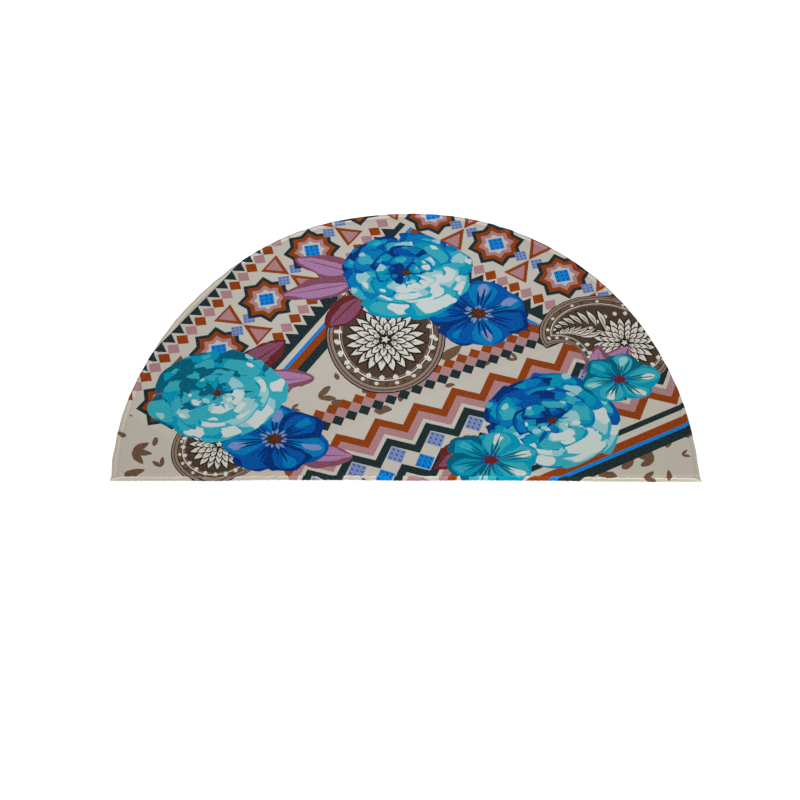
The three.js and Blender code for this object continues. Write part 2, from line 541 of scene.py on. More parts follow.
def flame_band(cloth, at, start, end, width):
    """A band of nested zigzags, with a row of seeded cells along its middle."""
    half = width / 2
    cloth.lay(CREAM, strip_of(at, start, -half, end, half))
    v = -(FLAME_RISE + sum(thick for _, thick in FLAMES)) / 2
    for ink, thick in FLAMES:
        if ink != CREAM:
            zigzag(cloth, at, ink, start, end, v, FLAME_PITCH, FLAME_RISE, thick)
        v += thick
    for k in range(int((end - start) / FLAME_PITCH)):
        lift = FLAME_RISE / 2 * (-1) ** (k + 1)
        seeded_cell(cloth, at, start + k * FLAME_PITCH, lift, 14, (SKY, PERIWINKLE)[k % 2])


def square_rows(cloth, at, start, end, v, inks, half=9.5):
    """Rows of squares on point, set corner to corner, each row in its own ink."""
    for row, ink in enumerate(inks):
        for k in range(int((end - start) / (2 * half))):
            u = start + (2 * k + row % 2) * half
            cloth.lay(ink, diamond_of(at, u, v + row * half, half * 0.98, half * 0.98))


DROP_BORDER = (
    (1.000, SOOT), (0.980, TAUPE), (0.950, UMBER), (0.930, TAUPE), (0.885, SOOT), (0.870, BROWN),
    (0.800, SOOT), (0.785, BONE), (0.765, SOOT), (0.750, TAUPE), (0.735, UMBER),
)
DROP_BEADS = 44


class CurledDrop:
    """A paisley's curled drop: a middle line that bends more and more, and a half width along it."""

    LENGTH = 1.0
    WIDTH = 0.62
    CURL = math.radians(150)
    BEND = 2.2
    WIDEST = 0.367
    BROAD = 0.55
    SLIM = 0.95
    STEPS = 60

    def __init__(self):
        self.line = [(0.0, 0.0, 0.0)]
        x = y = 0.0
        for k in range(self.STEPS):
            heading = self.CURL * ((k + 0.5) / self.STEPS) ** self.BEND
            x += self.LENGTH / self.STEPS * math.cos(heading)
            y += self.LENGTH / self.STEPS * math.sin(heading)
            self.line.append((x, y, self.CURL * ((k + 1) / self.STEPS) ** self.BEND))

    def middle(self, t):
        """The middle line's place and heading at a share of its length."""
        k = min(self.STEPS - 1, int(t * self.STEPS))
        share = t * self.STEPS - k
        return tuple(p + (q - p) * share for p, q in zip(self.line[k], self.line[k + 1]))

    def half(self, t):
        """The drop's half width there, widest about a third of the way along."""
        peak = self.WIDEST**self.BROAD * (1 - self.WIDEST) ** self.SLIM
        return self.WIDTH / 2 * t**self.BROAD * (1 - t) ** self.SLIM / peak

    def outline(self, at, share, steps=26):
        """The drop drawn in from its edge, where share 1 is the whole of it."""
        first = 0.36 * (1 - share)
        last = 1 - 0.5 * (1 - share)
        right = []
        left = []
        for k in range(steps + 1):
            full = k / steps
            full = full * full * (3 - 2 * full)
            x, y, heading = self.middle(first + (last - first) * full)
            w = self.half(full) * share
            right.append(at(x + w * math.sin(heading), y - w * math.cos(heading)))
            left.append(at(x - w * math.sin(heading), y + w * math.cos(heading)))
        return right + left[-2:0:-1]


# The rosette's rings of leaves: how far each reaches, how many leaves it has, and their width.
ROSETTE_RINGS = ((0.218, 20, 0.06), (0.168, 16, 0.054), (0.118, 12, 0.048), (0.072, 8, 0.04))


def drop_rosette(cloth, at, heading):
    """The many-leaved rosette in the broad end of a paisley, with a ring of pearls round it."""
    for k in range(22):
        cloth.lay(BONE, petal_of(at, TAU * k / 22, 0.225, 0.262, 0.03, steps=4))
    for ring, (tip, count, width) in enumerate(ROSETTE_RINGS):
        for k in range(count):
            a = TAU * (k + ring * 0.5) / count + heading
            cloth.lay(SOOT, petal_of(at, a, 0.015, tip, width, crown=1.5, steps=6))
            cloth.lay(BONE, petal_of(at, a, 0.03, tip * 0.93, width * 0.68, crown=1.5, steps=6))
            cloth.lay(TAUPE, petal_of(at, a, 0.04, tip * 0.75, width * 0.24, crown=1.2, steps=4))
    cloth.lay(SOOT, ring_of(at, 0, 0, 0.034, 10))
    cloth.lay(BONE, star_of(at, 0, 0, 0.026, 0.012, 5))


def drop_spray(cloth, at, drop):
    """The spray of curling leaves that runs up into a paisley's tip."""
    leaves = 9
    for k in range(leaves):
        t = 0.5 + 0.4 * (k / leaves) ** 0.9
        x, y, heading = drop.middle(t)
        here = shifted(at, x, y)
        reach = drop.half((t - 0.09) / 0.78) * 0.62
        slim = 1 - 0.05 * k
        for side in (-1, 1):
            a = heading + side * (1.05 - 0.3 * k / leaves)
            form = {"crown": 1.2, "sway": -0.25 * side}
            cloth.lay(SOOT, petal_of(here, a, 0.0, reach, 0.055 * slim, **form))
            cloth.lay(BONE, petal_of(here, a, 0.012, reach * 0.92, 0.036 * slim, **form))
            cloth.lay(TAUPE, petal_of(here, a, 0.02, reach * 0.7, 0.012, steps=4, **form))


def paisley(cloth, at, drop=CurledDrop()):
    """A paisley drawn as if engraved: ruled borders with beads, and pale leaves on dark brown."""
    for share, ink in DROP_BORDER:
        cloth.lay(ink, drop.outline(at, share))
    beaded = drop.outline(lambda u, v: (u, v), 0.835, 60)
    for k in range(DROP_BEADS):
        u, v = beaded[int(k * len(beaded) / DROP_BEADS)]
        cloth.lay((UMBER, BONE)[k % 2], ring_of(at, u, v, 0.012, 6))
    x, y, heading = drop.middle(0.34)
    drop_rosette(cloth, shifted(at, x, y), heading)
    drop_spray(cloth, at, drop)


def brown_mark(cloth, at, hand, kind):
    """A seed, a drop, a pair of leaves or a small sprig on the open ground."""
    if kind == "seed":
        cloth.petal(BROWN, at, 0, -0.6, 0.6, 0.75, blunt=0.6, rough=hand)
    elif kind == "drop":
        cloth.petal(BROWN, at, 0, -0.8, 0.8, 0.8, crown=0.7, blunt=0.8, sway=0.2, rough=hand)
    else:
        for lean in {"pair": (-0.6, 0.5), "sprig": (-0.8, 0, 0.8)}[kind]:
            cloth.petal(BROWN, at, lean, 0, 1.1, 0.45, blunt=0.8, rough=hand)


STAR_BAND_WIDTH = 144
STAR_STRIPES_EDGE = -118
STAR_STRIPES = ((SLATE, 13), (RUST, 11), (SKY, 5), (CREAM, 8), (SLATE, 9))
FLAME_BAND_WIDTH = 156
FLAME_STRIPES = ((SLATE, 8), (CREAM, 9), (RUST, 12), (SKY, 5), (SLATE, 13))


def print_bands(cloth):
    """The slanting bands, from the lowest layer up, each with its stripes along one side."""
    for at, start, phase in ((placed(190, 350, -33), -300, 12), (placed(-236, 226, 56), -172, 40)):
        star_band(cloth, at, start, 300, STAR_BAND_WIDTH, phase)
        stripes(cloth, at, start, 300, STAR_STRIPES_EDGE, STAR_STRIPES)
    lower = placed(164, 110, 26)
    square_rows(cloth, lower, -330, 330, 94, (SLATE, ROSE, RUST))
    flame_band(cloth, lower, -330, 330, FLAME_BAND_WIDTH)
    edge = -FLAME_BAND_WIDTH / 2 - sum(width for _, width in FLAME_STRIPES)
    stripes(cloth, lower, -330, 330, edge, FLAME_STRIPES[::-1])


def print_leaves(cloth, hand):
    rows = (
        (-66, 338, 160, 100, MAUVES), (-70, 322, 196, 108, MAUVES), (-60, 300, 232, 84, MAROONS),
        (112, 62, 206, 92, MAROONS), (246, 148, 58, 92, MAUVES), (262, 140, 96, 84, MAUVES),
        (-226, 168, 40, 92, MAROONS), (-215, 150, 8, 96, MAUVES), (-150, 40, -8, 84, MAUVES),
    )
    for x, y, turn, length, inks in rows:
        leaf(cloth, placed(x, y, 0, 1, 0.88), hand, turn, length, 46, inks)


# The brown marks on the open ground, each with its place, its size and its turn.
MARKS = (
    (-352, 104, 15, 60), (-366, 70, 11, 150), (-334, 88, 20, 20), (-350, 44, 24, -10), (-322, 58, 12, 80),
    (-345, 10, 17, 8), (-311, 20, 15, 120), (-318, 118, 12, 200), (-366, 128, 10, 30),
    (-136, 158, 18, 70), (-116, 128, 24, 25), (-132, 196, 12, 160), (-92, 162, 11, 110),
    (-84, 116, 20, -15), (-58, 136, 13, 40), (-104, 92, 14, 170), (-30, 108, 22, 10),
    (-6, 130, 12, 75), (-150, 110, 12, 15),
    (30, 170, 18, 60), (58, 148, 12, 10), (62, 200, 23, 30), (92, 222, 14, 130), (104, 180, 13, 85),
    (128, 214, 24, 0), (152, 240, 12, 60), (148, 190, 14, 150), (182, 216, 16, 30),
    (256, 8, 22, -5), (284, 26, 16, 35), (300, 4, 18, 10), (318, 34, 23, 170), (338, 58, 14, 70),
    (336, 8, 12, 80), (354, 40, 11, 20), (366, 66, 14, 100),
    (-304, 236, 14, 60), (-284, 268, 17, 45), (-262, 296, 12, 120), (-240, 318, 16, 40),
    (-330, 196, 12, 65),
)


PRINT_SEED = 11


def print_design():
    """The whole print: strewn marks, slanting bands, paisleys, then leaves and blossoms on top."""
    cloth = Print()
    hand = random.Random(PRINT_SEED)
    kinds = ("seed", "drop", "pair", "sprig")
    for number, (x, y, size, turn) in enumerate(MARKS):
        brown_mark(cloth, placed(x, y, turn, size, 0.85), hand, kinds[number % 4])
    print_bands(cloth)
    paisley(cloth, placed(-52, 138, 70, 262))
    paisley(cloth, placed(330, 160, 118, 205))
    paisley(cloth, placed(-298, 26, 22, 190))
    print_leaves(cloth, hand)
    open_blossom(cloth, placed(98, 268, 0, 78, 0.78), hand)
    full_blossom(cloth, placed(0, 340, 0, 92, 0.84), hand)
    open_blossom(cloth, placed(-170, 62, 0, 74, 0.78), hand)
    full_blossom(cloth, placed(-248, 134, 0, 88, 0.84), hand, TEALS)
    full_blossom(cloth, placed(190, 92, 0, 90, 0.84), hand)
    open_blossom(cloth, placed(108, 30, 0, 62, 0.78), hand, TEALS, 6, ROYAL, MAROON)
    open_blossom(cloth, placed(282, 158, 0, 56, 0.78), hand, TEALS, 6, ROYAL, MAROON)
    return cloth


# The rows of points round the hem, by the length of cloth from where the hem begins.
ROWS_INSIDE = np.linspace(0, HEM_BEGIN, 17)
ROWS_OUTSIDE = np.linspace(HEM_BEGIN, HEM_LENGTH[-2], 11)[1:]
ROW_STEP = 2.9
SNAP = 1e-4
NOTCH_REACH = 0.001


def edge_lines(depth, step=ROW_STEP):
    """The straight line and the arc at a depth inside the flat cloth's edge, as points a step apart."""
    start = float(arc_start(depth))
    half = float((HALF - max(depth, 0)) * rounded(np.cos(start)))
    across = np.linspace(-half, half, round(2 * half / step) + 1)
    angles = np.linspace(start, math.pi - start, round(ARC_LENGTH / step) + 1)
    arc = [(HALF - depth) * rounded(np.cos(angles)), (DEPTH - depth) * rounded(np.sin(angles))]
    straight = [across, np.full_like(across, depth)]
    return [np.round(np.stack(line, 1), 4).tolist() for line in (straight, arc)]


def cut_outline():
    """The flat cloth's cut edge, notched at both corners so that the rim can turn under."""
    straight, arc = edge_lines(-FLAT_RIM)
    runs = [round(row - HEM_BEGIN, 4) for row in ROWS_OUTSIDE]
    down = [(HALF, -run) for run in reversed(runs)]
    right = down + [(HALF, 0.0)] + [(HALF + run, 0.0) for run in runs]
    left = [(-x, y) for x, y in reversed(right)]
    return straight + right + arc + left


def middle(places):
    """The middle of the box round some places, on the floor."""
    low, high = np.min(places, 0), np.max(places, 0)
    return (low + high) / 2 * [1, 1, 0]


TURNED_ROWS = np.concatenate([line for row in ROWS_OUTSIDE for line in edge_lines(HEM_BEGIN - row)])
SHIFT = middle(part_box("mat")) - middle(laid(TURNED_ROWS))


def in_frame(flat):
    """Where each point of the flat cloth lies, with the mat's middle at the frame's."""
    return laid(flat) + SHIFT


def closed_run(first, count):
    """The edges that join a run of points into a ring."""
    return [(first + k, first + (k + 1) % count) for k in range(count)]


def hem_lines():
    """The cut edge and the hem's rows, as points and the edges between them."""
    points = cut_outline()
    edges = closed_run(0, len(points))
    for row in (*ROWS_INSIDE, *ROWS_OUTSIDE):
        for line in edge_lines(HEM_BEGIN - row):
            edges += [(k, k + 1) for k in range(len(points), len(points) + len(line) - 1)]
            points += line
    return points, edges


def sides_of(triangles):
    """The three sides of every triangle, in its own direction."""
    return np.concatenate([triangles[:, [0, 1]], triangles[:, [1, 2]], triangles[:, [2, 0]]])


def triangles_along(points, edges):
    """Triangles that respect every edge, as their points and three corners each."""
    out, _, triangles, *_ = delaunay_2d_cdt([Vector(p) for p in points], edges, [], 0, SNAP, False)
    return np.array([p[:] for p in out]), np.array(triangles)


def within(outline, spots):
    """Which spots lie inside an outline, by counting the sides to the right of each."""
    start = np.array(outline)
    x0, y0 = start.T[:, :, None]
    x1, y1 = np.roll(start, -1, 0).T[:, :, None]
    x, y = spots.T
    level = (y0 > y) != (y1 > y)
    right = x < x0 + (y - y0) * (x1 - x0) / np.where(level, y1 - y0, 1)
    return (level & right).sum(0) % 2 == 1


def top_shapes(cloth, spots):
    """The number of the last shape laid over each spot, 0 for bare ground and -1 off the cloth."""
    order = np.argsort(spots[:, 0])
    across = spots[order, 0]
    top = np.full(len(spots), -1)
    for number, outline in enumerate([cut_outline()] + [outline for _, outline in cloth.shapes]):
        low = np.min(outline, 0)
        high = np.max(outline, 0)
        near = order[slice(*np.searchsorted(across, (low[0], high[0])))]
        near = near[(spots[near, 1] > low[1]) & (spots[near, 1] < high[1])]
        top[near[within(outline, spots[near])]] = number
    top[~within(cut_outline(), spots)] = -1
    return top


def cut_cloth(cloth):
    """Cuts the flat cloth into triangles along every printed edge that shows and every row of the hem.

    Returns the points, the triangles and the ink of each. The first cut follows every outline, and
    tells which parts of the outlines show. The second cut follows only those."""
    points, edges = hem_lines()
    for _, outline in cloth.shapes:
        edges += closed_run(len(points), len(outline))
        points += outline
    flat, triangles = triangles_along(points, edges)
    inks = ink_numbers(cloth, flat[triangles].mean(1))

    sides = sides_of(triangles)
    colours = np.tile(inks, 3)
    one_way = sides[:, 0] < sides[:, 1]
    keys = np.sort(sides, 1) @ [len(flat), 1]
    here = dict(zip(keys[one_way].tolist(), colours[one_way].tolist()))
    there = dict(zip(keys[~one_way].tolist(), colours[~one_way].tolist()))
    seen = [divmod(key, len(flat)) for key, ink in here.items() if there.get(key, ink) != ink]

    points, edges = hem_lines()
    first = len(points)
    number = {point: first + k for k, point in enumerate(sorted({p for side in seen for p in side}))}
    points += [flat[point].tolist() for point in number]
    edges += [(number[a], number[b]) for a, b in seen]
    flat, triangles = triangles_along(points, edges)
    inks = ink_numbers(cloth, flat[triangles].mean(1))
    kept = inks >= 0
    used, corners = np.unique(triangles[kept], return_inverse=True)
    return flat[used], corners.reshape(-1, 3), inks[kept]


def ink_numbers(cloth, spots):
    """The place in the list of inks of the ink on each spot, or -1 off the cloth."""
    table = {ink: number for number, ink in enumerate(INKS)}
    inks = np.array([table[GROUND]] + [table[ink] for ink, _ in cloth.shapes] + [-1])
    return inks[top_shapes(cloth, spots)]


# What the studio light does to an ink: its gain in each channel, what it adds, and the least that is left.
STUDIO_GAIN = np.array((1.42, 1.44, 1.50))
STUDIO_VEIL = 0.0015
DARKEST = 0.0004
REVERSE = (176, 170, 160)
SLOPE_REACH = 0.02
WEAVE_MIDDLE = 0.5


def linear(ink):
    """An ink's linear colour, brought down by what the studio light adds to it."""
    share = np.array(ink) / 255
    seen = np.where(share <= 0.04045, share / 12.92, ((share + 0.055) / 1.055) ** 2.4)
    return np.maximum(seen - STUDIO_VEIL, DARKEST) / STUDIO_GAIN


PALETTE = np.array([linear(ink) for ink in INKS])


def facing(flat):
    """The laid cloth's outward normal at each flat point, from its slope inwards and upwards."""
    inward = -np.sign(flat[:, :1])
    here = laid(flat)
    across = (laid(flat + np.hstack([inward * SLOPE_REACH, 0 * inward])) - here) * inward
    up = laid(flat + [0, SLOPE_REACH]) - here
    normal = np.cross(across, up)
    return normal / np.maximum(np.linalg.norm(normal, axis=1, keepdims=True), TINY**2)


def sewn_corners(flat, triangles):
    """The triangles once the two sides of each corner's notch, sewn together, share their points."""
    partner = {}
    shared = np.arange(len(flat))
    notch = (np.abs(flat[:, 0]) > HALF - NOTCH_REACH) & (flat[:, 1] < NOTCH_REACH)
    for point in np.nonzero(notch)[0]:
        x, y = flat[point]
        down = round(float(max(abs(x) - HALF, -y)), 2)
        shared[point] = partner.setdefault((x > 0, down), point)
    return shared[triangles]


def open_edge(triangles):
    """The open edge of a patch of triangles, as one closed run of points in the patch's own direction."""
    own = {(a, b) for a, b in sides_of(triangles).tolist()}
    following = {a: b for a, b in own if (b, a) not in own}
    loop = [min(following)]
    for _ in range(len(following) - 1):
        loop.append(following[loop[-1]])
    return loop


def back_cloth(rim):
    """The cloth's plain reverse: a low step up from the turned edge, then a flat sheet across it.

    Returns its points and triangles, where the first points stand above the rim's own."""
    count = len(rim)
    points, _, triangles, _, _, owners = delaunay_2d_cdt(
        [Vector(p[:2]) for p in rim / MM], [], [list(range(count))], 0, SNAP, True
    )
    places = np.array([(x * MM, y * MM, BACK_HEIGHT * MM) for x, y in points])
    sheet = [triangle[::-1] for triangle, owner in zip(triangles, owners) if 0 in owner]
    return places, sheet


def add_object(name, data):
    thing = bpy.data.objects.new(name, data)
    bpy.context.scene.collection.objects.link(thing)
    return thing


def make_mat(cloth):
    """The printed cloth with its hem turned under, closed by its plain reverse."""
    flat, triangles, inks = cut_cloth(cloth)
    places = in_frame(flat)
    normals = facing(flat)[triangles]
    kept, corners = np.unique(sewn_corners(flat, triangles), return_inverse=True)
    flat, places, triangles = flat[kept], places[kept], corners.reshape(-1, 3)
    loop = open_edge(triangles)
    back_places, sheet = back_cloth(places[loop])
    first = len(places)
    ahead = loop[1:] + loop[:1]
    wall = [(b, a, first + k) for k, (a, b) in enumerate(zip(loop, ahead))]
    wall += [(b, first + k, first + (k + 1) % len(loop)) for k, b in enumerate(ahead)]
    sheet = [[first + point for point in triangle] for triangle in sheet]
    faces = triangles.tolist() + wall + sheet

    mesh = bpy.data.meshes.new("hemmed_cloth")
    mesh.from_pydata(np.concatenate([places, back_places]).tolist(), [], faces)
    mesh.polygons.foreach_set("use_smooth", [True] * len(faces))
    colours = np.ones((len(faces), 3, 4))
    colours[: len(inks), :, :3] = PALETTE[inks][:, None]
    colours[len(inks) :, :, :3] = linear(REVERSE)
    mesh.color_attributes.new("ink", "FLOAT_COLOR", "CORNER").data.foreach_set("color", colours.ravel())
    lying = np.concatenate([places[:, :2] / MM, back_places[:, :2] / MM])
    lying[: len(flat)] = flat
    weave = mesh.uv_layers.new(name="weave")
    weave.data.foreach_set("uv", (lying[np.array(faces)] * MM + WEAVE_MIDDLE).ravel())
    around = np.array([face.normal[:] for face in mesh.polygons])[:, None].repeat(3, 1)
    around[: len(inks)] = normals
    mesh.normals_split_custom_set(around.reshape(-1, 3).tolist())
    mesh.materials.append(printed_cloth())
    return add_object("hemmed_cloth", mesh)


def new_material(name, roughness, shine=None):
    """A material's node tree and its shader, with how rough it is and how much it reflects."""
    material = bpy.data.materials.new(name)
    material.use_nodes = True
    tree = material.node_tree
    shader = tree.nodes["Principled BSDF"]
    shader.inputs["Roughness"].default_value = roughness
    if shine is not None:
        shader.inputs["Specular IOR Level"].default_value = shine
    return material, tree, shader


def add_node(tree, kind, links=(), **settings):
    """Adds a node with its settings, and links or sets each of its inputs."""
    node = tree.nodes.new(kind)
    for key, value in settings.items():
        setattr(node, key, value)
    for socket, value in dict(links).items():
        if isinstance(value, bpy.types.NodeSocket):
            tree.links.new(value, node.inputs[socket])
        else:
            node.inputs[socket].default_value = value
    return node


def math_node(tree, operation, *values, clamp=False):
    links = dict(enumerate(values))
    return add_node(tree, "ShaderNodeMath", links, operation=operation, use_clamp=clamp).outputs["Value"]


def noise_node(tree, place, scale, detail):
    links = {"Vector": place, "Scale": scale, "Detail": detail}
    return add_node(tree, "ShaderNodeTexNoise", links).outputs["Fac"]


def attribute_node(tree, name):
    return add_node(tree, "ShaderNodeAttribute", attribute_name=name).outputs


def scaled(tree, colour, factor):
    """A colour made lighter or darker by a factor."""
    links = {0: colour, "Scale": factor}
    return add_node(tree, "ShaderNodeVectorMath", links, operation="SCALE").outputs["Vector"]


def emboss(tree, shader, height, strength, distance):
    """Raises a material's surface by a height."""
    links = {"Strength": strength, "Distance": distance, "Height": height}
    bump = add_node(tree, "ShaderNodeBump", links)
    tree.links.new(bump.outputs["Normal"], shader.inputs["Normal"])


THREAD_PITCH = 0.8 * MM
SLUBS_A_METRE = 900
BLOTS_A_METRE = 7

# How much the crossing threads, the slubs and the broad blots shade the cloth, and from what. The
# crossings' light and dark is painted shade of the weave; the slubs and blots are uneven tone.
CROSSING_PAINTED_SHADE = (0.035, 0.965)
SLUB_SHADE = (0.16, 0.92)
BLOT_SHADE = (0.08, 0.96)
SLUB_HEIGHT = 1.2

# The grain of the print, where the ink lies thick and thin on the threads: its size along and
# across the cloth, how much it shades a dark ink, and how much bare thread it lets through.
GRAIN_SIZE = (3.0 * MM, 2.2 * MM)
INK_GRAIN = 0.9
BARE_FLECKS = 0.025
GROUND_BRIGHTNESS = 0.29


def printed_cloth():
    """The printed cloth: the inks on a fine plain weave, matt and a little uneven, with painted shade in
    the weave.
    """
    material, tree, shader = new_material("printed cloth", roughness=0.88, shine=0.02)
    ink = attribute_node(tree, "ink")["Color"]
    lying = add_node(tree, "ShaderNodeUVMap", uv_map="weave").outputs["UV"]
    apart = add_node(tree, "ShaderNodeSeparateXYZ", {"Vector": lying}).outputs
    turns = [math_node(tree, "MULTIPLY", apart[axis], math.pi / THREAD_PITCH) for axis in "XY"]
    crossings = math_node(tree, "MULTIPLY", *(math_node(tree, "SINE", turn) for turn in turns))
    slubs = noise_node(tree, lying, SLUBS_A_METRE, 3)
    blots = noise_node(tree, lying, BLOTS_A_METRE, 3)
    # Painted shade: the tops of the crossing threads are painted lighter and the dips between them darker.
    painted_shade = math_node(tree, "MULTIPLY_ADD", crossings, *CROSSING_PAINTED_SHADE)
    uneven = math_node(tree, "MULTIPLY_ADD", slubs, *SLUB_SHADE)
    broad = math_node(tree, "MULTIPLY_ADD", blots, *BLOT_SHADE)
    even = math_node(tree, "MULTIPLY", math_node(tree, "MULTIPLY", painted_shade, uneven), broad)

    finer = {0: lying, 1: (1 / GRAIN_SIZE[0], 1 / GRAIN_SIZE[1], 1)}
    stretched = add_node(tree, "ShaderNodeVectorMath", finer, operation="MULTIPLY").outputs["Vector"]
    grain = math_node(tree, "SUBTRACT", noise_node(tree, stretched, 1, 2), 0.5)
    brightness = add_node(tree, "ShaderNodeRGBToBW", {"Color": ink}).outputs["Val"]
    slope = -INK_GRAIN / GROUND_BRIGHTNESS
    covered = math_node(tree, "MULTIPLY_ADD", brightness, slope, INK_GRAIN, clamp=True)
    factor = math_node(tree, "ADD", even, math_node(tree, "MULTIPLY", grain, covered))
    flecks = {0: scaled(tree, ink, factor), 1: math_node(tree, "MULTIPLY", grain, BARE_FLECKS)}
    flecked = add_node(tree, "ShaderNodeVectorMath", flecks, operation="ADD").outputs["Vector"]
    tree.links.new(flecked, shader.inputs["Base Color"])
    height = math_node(tree, "ADD", crossings, math_node(tree, "MULTIPLY", slubs, SLUB_HEIGHT))
    emboss(tree, shader, height, strength=0.35, distance=0.1 * MM)
    return material


TWIST_PITCH = 0.9 * MM
PLIES = 2
# How much the twist paints the plies lighter and darker, and from what: painted shade.
PLY_PAINTED_SHADE = (0.12, 0.86)


def sewing_thread():
    """The hem's fine clear thread of twisted plies, which takes the colour of the print under it, with
    painted shade between its plies.
    """
    material, tree, shader = new_material("sewing thread", roughness=0.7, shine=0.2)
    ink, along, around = (attribute_node(tree, name) for name in ("ink", "along", "around"))
    lean = math_node(tree, "MULTIPLY", along["Fac"], TAU / TWIST_PITCH)
    turn = math_node(tree, "MULTIPLY", around["Fac"], TAU * PLIES)
    plies = math_node(tree, "SINE", math_node(tree, "ADD", lean, turn))
    # Painted shade: each ply is painted lighter on its crown and darker where it meets the next.
    painted_shade = math_node(tree, "MULTIPLY_ADD", plies, *PLY_PAINTED_SHADE)
    tree.links.new(scaled(tree, ink["Color"], painted_shade), shader.inputs["Base Color"])
    emboss(tree, shader, plies, strength=0.6, distance=0.05 * MM)
    return material


# The lockstitch along the groove, in metres.
STITCH = {
    "Stitch Length": 3.4 * MM,
    "Stitch Pitch": 4.2 * MM,
    "Thread Radius": 0.17 * MM,
    "Stitch Rise": 0.16 * MM,
    "Most Lean": math.radians(5),
}
STITCH_SEED = 4
STITCH_SINK = -1.5
STITCH_CROWN = 2.5
STITCH_SIDES = 6
PATH_STEP = 3.0
PATH_DEPTH = HEM_WIDTH + GROOVE_WIDTH / 2


def stitch_tree(material):
    """A node tree that sets stitches end to end along a line, each a little askew."""
    tree = bpy.data.node_groups.new("hem stitches", "GeometryNodeTree")
    tree.interface.new_socket("Line", in_out="INPUT", socket_type="NodeSocketGeometry")
    for name in STITCH:
        tree.interface.new_socket(name, in_out="INPUT", socket_type="NodeSocketFloat")
    tree.interface.new_socket("Seed", in_out="INPUT", socket_type="NodeSocketInt")
    tree.interface.new_socket("Stitches", in_out="OUTPUT", socket_type="NodeSocketGeometry")

    def add(kind, links=(), **settings):
        return add_node(tree, kind, links, **settings).outputs

    def stored(geometry, name, value):
        links = {"Geometry": geometry, "Name": name, "Value": value}
        return add("GeometryNodeStoreNamedAttribute", links, data_type="FLOAT", domain="POINT")[0]

    given = add("NodeGroupInput")
    half = math_node(tree, "MULTIPLY", given["Stitch Length"], 0.5)
    back = math_node(tree, "MULTIPLY", half, -1.0)
    sunk = math_node(tree, "MULTIPLY", given["Thread Radius"], STITCH_SINK)
    top = math_node(tree, "MULTIPLY", given["Stitch Rise"], STITCH_CROWN)
    start, end = (add("ShaderNodeCombineXYZ", {"X": x, "Z": sunk})[0] for x in (back, half))
    crest = add("ShaderNodeCombineXYZ", {"Z": top})[0]
    reach = {"Resolution": STITCH_SIDES, "Start": start, "Middle": crest, "End": end}
    spine = add("GeometryNodeSplineParameter")
    bow = stored(add("GeometryNodeCurveQuadraticBezier", reach)[0], "along", spine["Length"])
    section = {"Resolution": STITCH_SIDES, "Radius": given["Thread Radius"]}
    ring = stored(add("GeometryNodeCurvePrimitiveCircle", section)[0], "around", spine["Factor"])
    stitch = add("GeometryNodeCurveToMesh", {"Curve": bow, "Profile Curve": ring, "Fill Caps": True})[0]

    line = add("GeometryNodeMeshToCurve", {"Mesh": given["Line"]})[0]
    pitch = {"Curve": line, "Length": given["Stitch Pitch"]}
    spots = add("GeometryNodeResampleCurve", pitch, mode="LENGTH")[0]
    tangent = {"Vector": add("GeometryNodeInputTangent")[0]}
    heading = add("FunctionNodeAlignRotationToVector", tangent, axis="X", pivot_axis="Z")[0]
    other_way = math_node(tree, "MULTIPLY", given["Most Lean"], -1.0)
    leans = {2: other_way, 3: given["Most Lean"], "Seed": given["Seed"]}
    lean = add("FunctionNodeRandomValue", leans, data_type="FLOAT")[1]
    turned = {"Rotation": heading, "Rotate By": add("ShaderNodeCombineXYZ", {"Z": lean})[0]}
    askew = add("FunctionNodeRotateRotation", turned, rotation_space="LOCAL")[0]
    sewn = add("GeometryNodeInstanceOnPoints", {"Points": spots, "Instance": stitch, "Rotation": askew})[0]
    real = add("GeometryNodeRealizeInstances", {"Geometry": sewn})[0]
    smooth_shade = add("GeometryNodeSetShadeSmooth", {"Geometry": real})[0]
    finish = add("GeometryNodeSetMaterial", {"Geometry": smooth_shade, "Material": material})[0]
    add("NodeGroupOutput", {"Stitches": finish})
    return tree


def make_stitches(cloth):
    """The thread along the groove, sewn right round the mat."""
    straight, arc = edge_lines(PATH_DEPTH, PATH_STEP)
    path = np.array(straight + arc[1:-1])
    mesh = bpy.data.meshes.new("hem_stitches")
    mesh.from_pydata(in_frame(path).tolist(), closed_run(0, len(path)), [])
    colours = np.ones((len(path), 4))
    colours[:, :3] = PALETTE[ink_numbers(cloth, path)]
    mesh.attributes.new("ink", "FLOAT_COLOR", "POINT").data.foreach_set("color", colours.ravel())
    line = add_object("hem_stitches", mesh)
    sewing = line.modifiers.new("hem stitches", "NODES")
    sewing.node_group = stitch_tree(sewing_thread())
    sockets = {item.name: item.identifier for item in sewing.node_group.interface.items_tree}
    for name, size in STITCH.items():
        sewing[sockets[name]] = size
    sewing[sockets["Seed"]] = STITCH_SEED
    evaluated = line.evaluated_get(bpy.context.evaluated_depsgraph_get())
    stitches = bpy.data.meshes.new_from_object(evaluated)
    line.modifiers.clear()
    line.data = stitches
    stitches.name = "hem_stitches"
    return line


FLOOR_SIDE = 6.0
FLOOR_DROP = 0.1 * MM
FLOOR_COLOUR = (0.95, 0.95, 0.95, 1)


def make_floor():
    """A plain pale floor just under the mat, which throws no light back up at it."""
    material, _, shader = new_material("floor paint", roughness=0.9)
    shader.inputs["Base Color"].default_value = FLOOR_COLOUR
    turns = ((-1, -1), (1, -1), (1, 1), (-1, 1))
    corners = [(x * FLOOR_SIDE, y * FLOOR_SIDE, -FLOOR_DROP) for x, y in turns]
    mesh = bpy.data.meshes.new("floor")
    mesh.from_pydata(corners, [], [(0, 1, 2, 3)])
    mesh.materials.append(material)
    floor = add_object("floor", mesh)
    floor.visible_diffuse = False


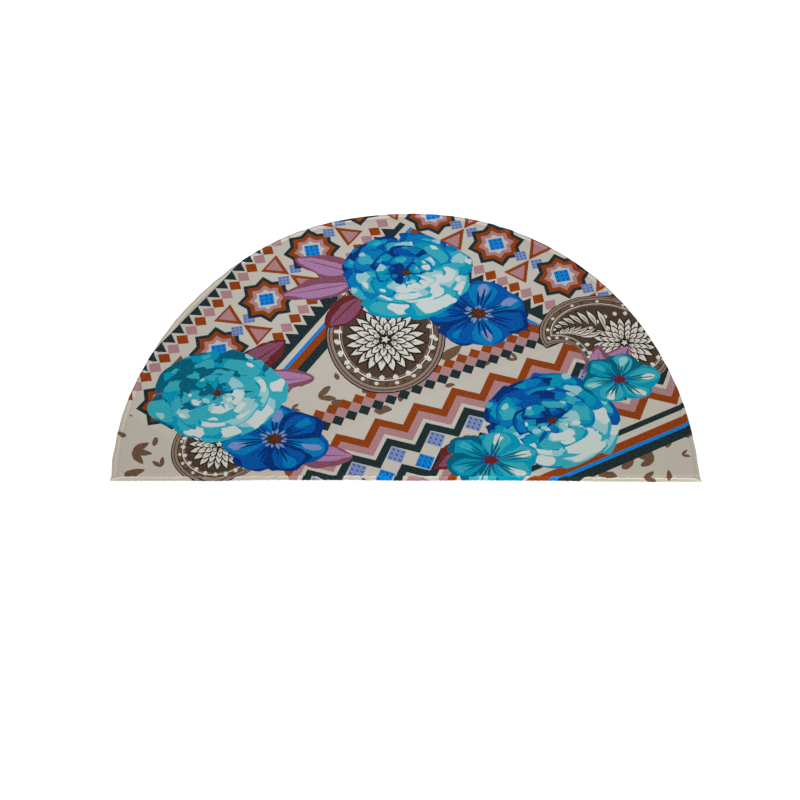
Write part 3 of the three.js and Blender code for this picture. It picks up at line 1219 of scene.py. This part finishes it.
# The camera's place in metres, how far it looks down and rolls in degrees, and its lens.
CAMERA_PLACE = (-0.0076, -1.3035, 1.7186)
CAMERA_DOWN = 54.946
CAMERA_ROLL = 0.116
FOCAL_PIXELS = 1600
IMAGE_PIXELS = 800
SENSOR = 36.0


def make_camera():
    data = bpy.data.cameras.new("camera")
    data.sensor_width = SENSOR
    data.lens = SENSOR * FOCAL_PIXELS / IMAGE_PIXELS
    camera = add_object("camera", data)
    tilt = Matrix.Rotation(math.radians(90 - CAMERA_DOWN), 4, "X")
    roll = Matrix.Rotation(math.radians(CAMERA_ROLL), 4, "Z")
    camera.matrix_world = Matrix.Translation(CAMERA_PLACE) @ tilt @ roll
    bpy.context.scene.camera = camera


def make_lamp(name, turn, lift, distance, size, power, tint=(1, 1, 1), shadow=False, aim=(0, 0, 0)):
    """A round soft lamp aimed at the mat, turned from the front towards the right and lifted by degrees."""
    data = bpy.data.lights.new(name, "AREA")
    data.shape = "DISK"
    data.size = size
    data.energy = power
    data.color = tint
    data.use_shadow = shadow
    ahead = Vector((0, -math.cos(math.radians(lift)), math.sin(math.radians(lift))))
    away = Matrix.Rotation(math.radians(turn), 3, "Z") @ ahead
    lamp = add_object(name, data)
    lamp.location = Vector(aim) + away * distance
    lamp.rotation_euler = away.to_track_quat("Z", "Y").to_euler()
    lamp.visible_camera = False


# The studio's light. The three near lamps stand low beside the mat, so each lights only the hem there.
ROOM_LIGHT = 0.6
FAR = {"distance": 5, "size": 1.5}
NEAR = {"lift": 7, "distance": 0.6, "size": 0.12}
LAMPS = (
    {"name": "front lamp", "turn": 6, "lift": 14, "power": 290, **FAR},
    {"name": "right lamp", "turn": 95, "power": 2.0, "aim": (0.36, 0, 0), **NEAR},
    {"name": "left lamp", "turn": -80, "power": 1.7, "aim": (-0.36, 0, 0), **NEAR},
    {"name": "corner lamp", "turn": 10, "power": 3.2, "aim": (0.3, -0.22, 0), **NEAR},
    {"name": "back lamp", "turn": 180, "lift": 18, "power": 140, **FAR},
    {
        "name": "overhead lamp", "turn": 0, "lift": 90, "distance": 0.5, "size": 0.3, "power": 1.5,
        "tint": (0.88, 0.96, 1.2), "aim": (-0.03, 0.05, 0), "shadow": True,
    },
)


def light_studio():
    """White all round, a cool lamp over the middle, one in front, one behind and three for the hem."""
    world = bpy.data.worlds.new("studio")
    world.use_nodes = True
    background = world.node_tree.nodes["Background"]
    background.inputs["Color"].default_value = (1, 1, 1, 1)
    background.inputs["Strength"].default_value = ROOM_LIGHT
    bpy.context.scene.world = world
    for lamp in LAMPS:
        make_lamp(**lamp)
    bpy.context.scene.view_settings.view_transform = "Standard"


light_studio()
make_camera()
make_floor()
cloth = print_design()
mat = make_mat(cloth)
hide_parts("mat")
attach(mat, "root")
stitches = make_stitches(cloth)
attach(stitches, "root")
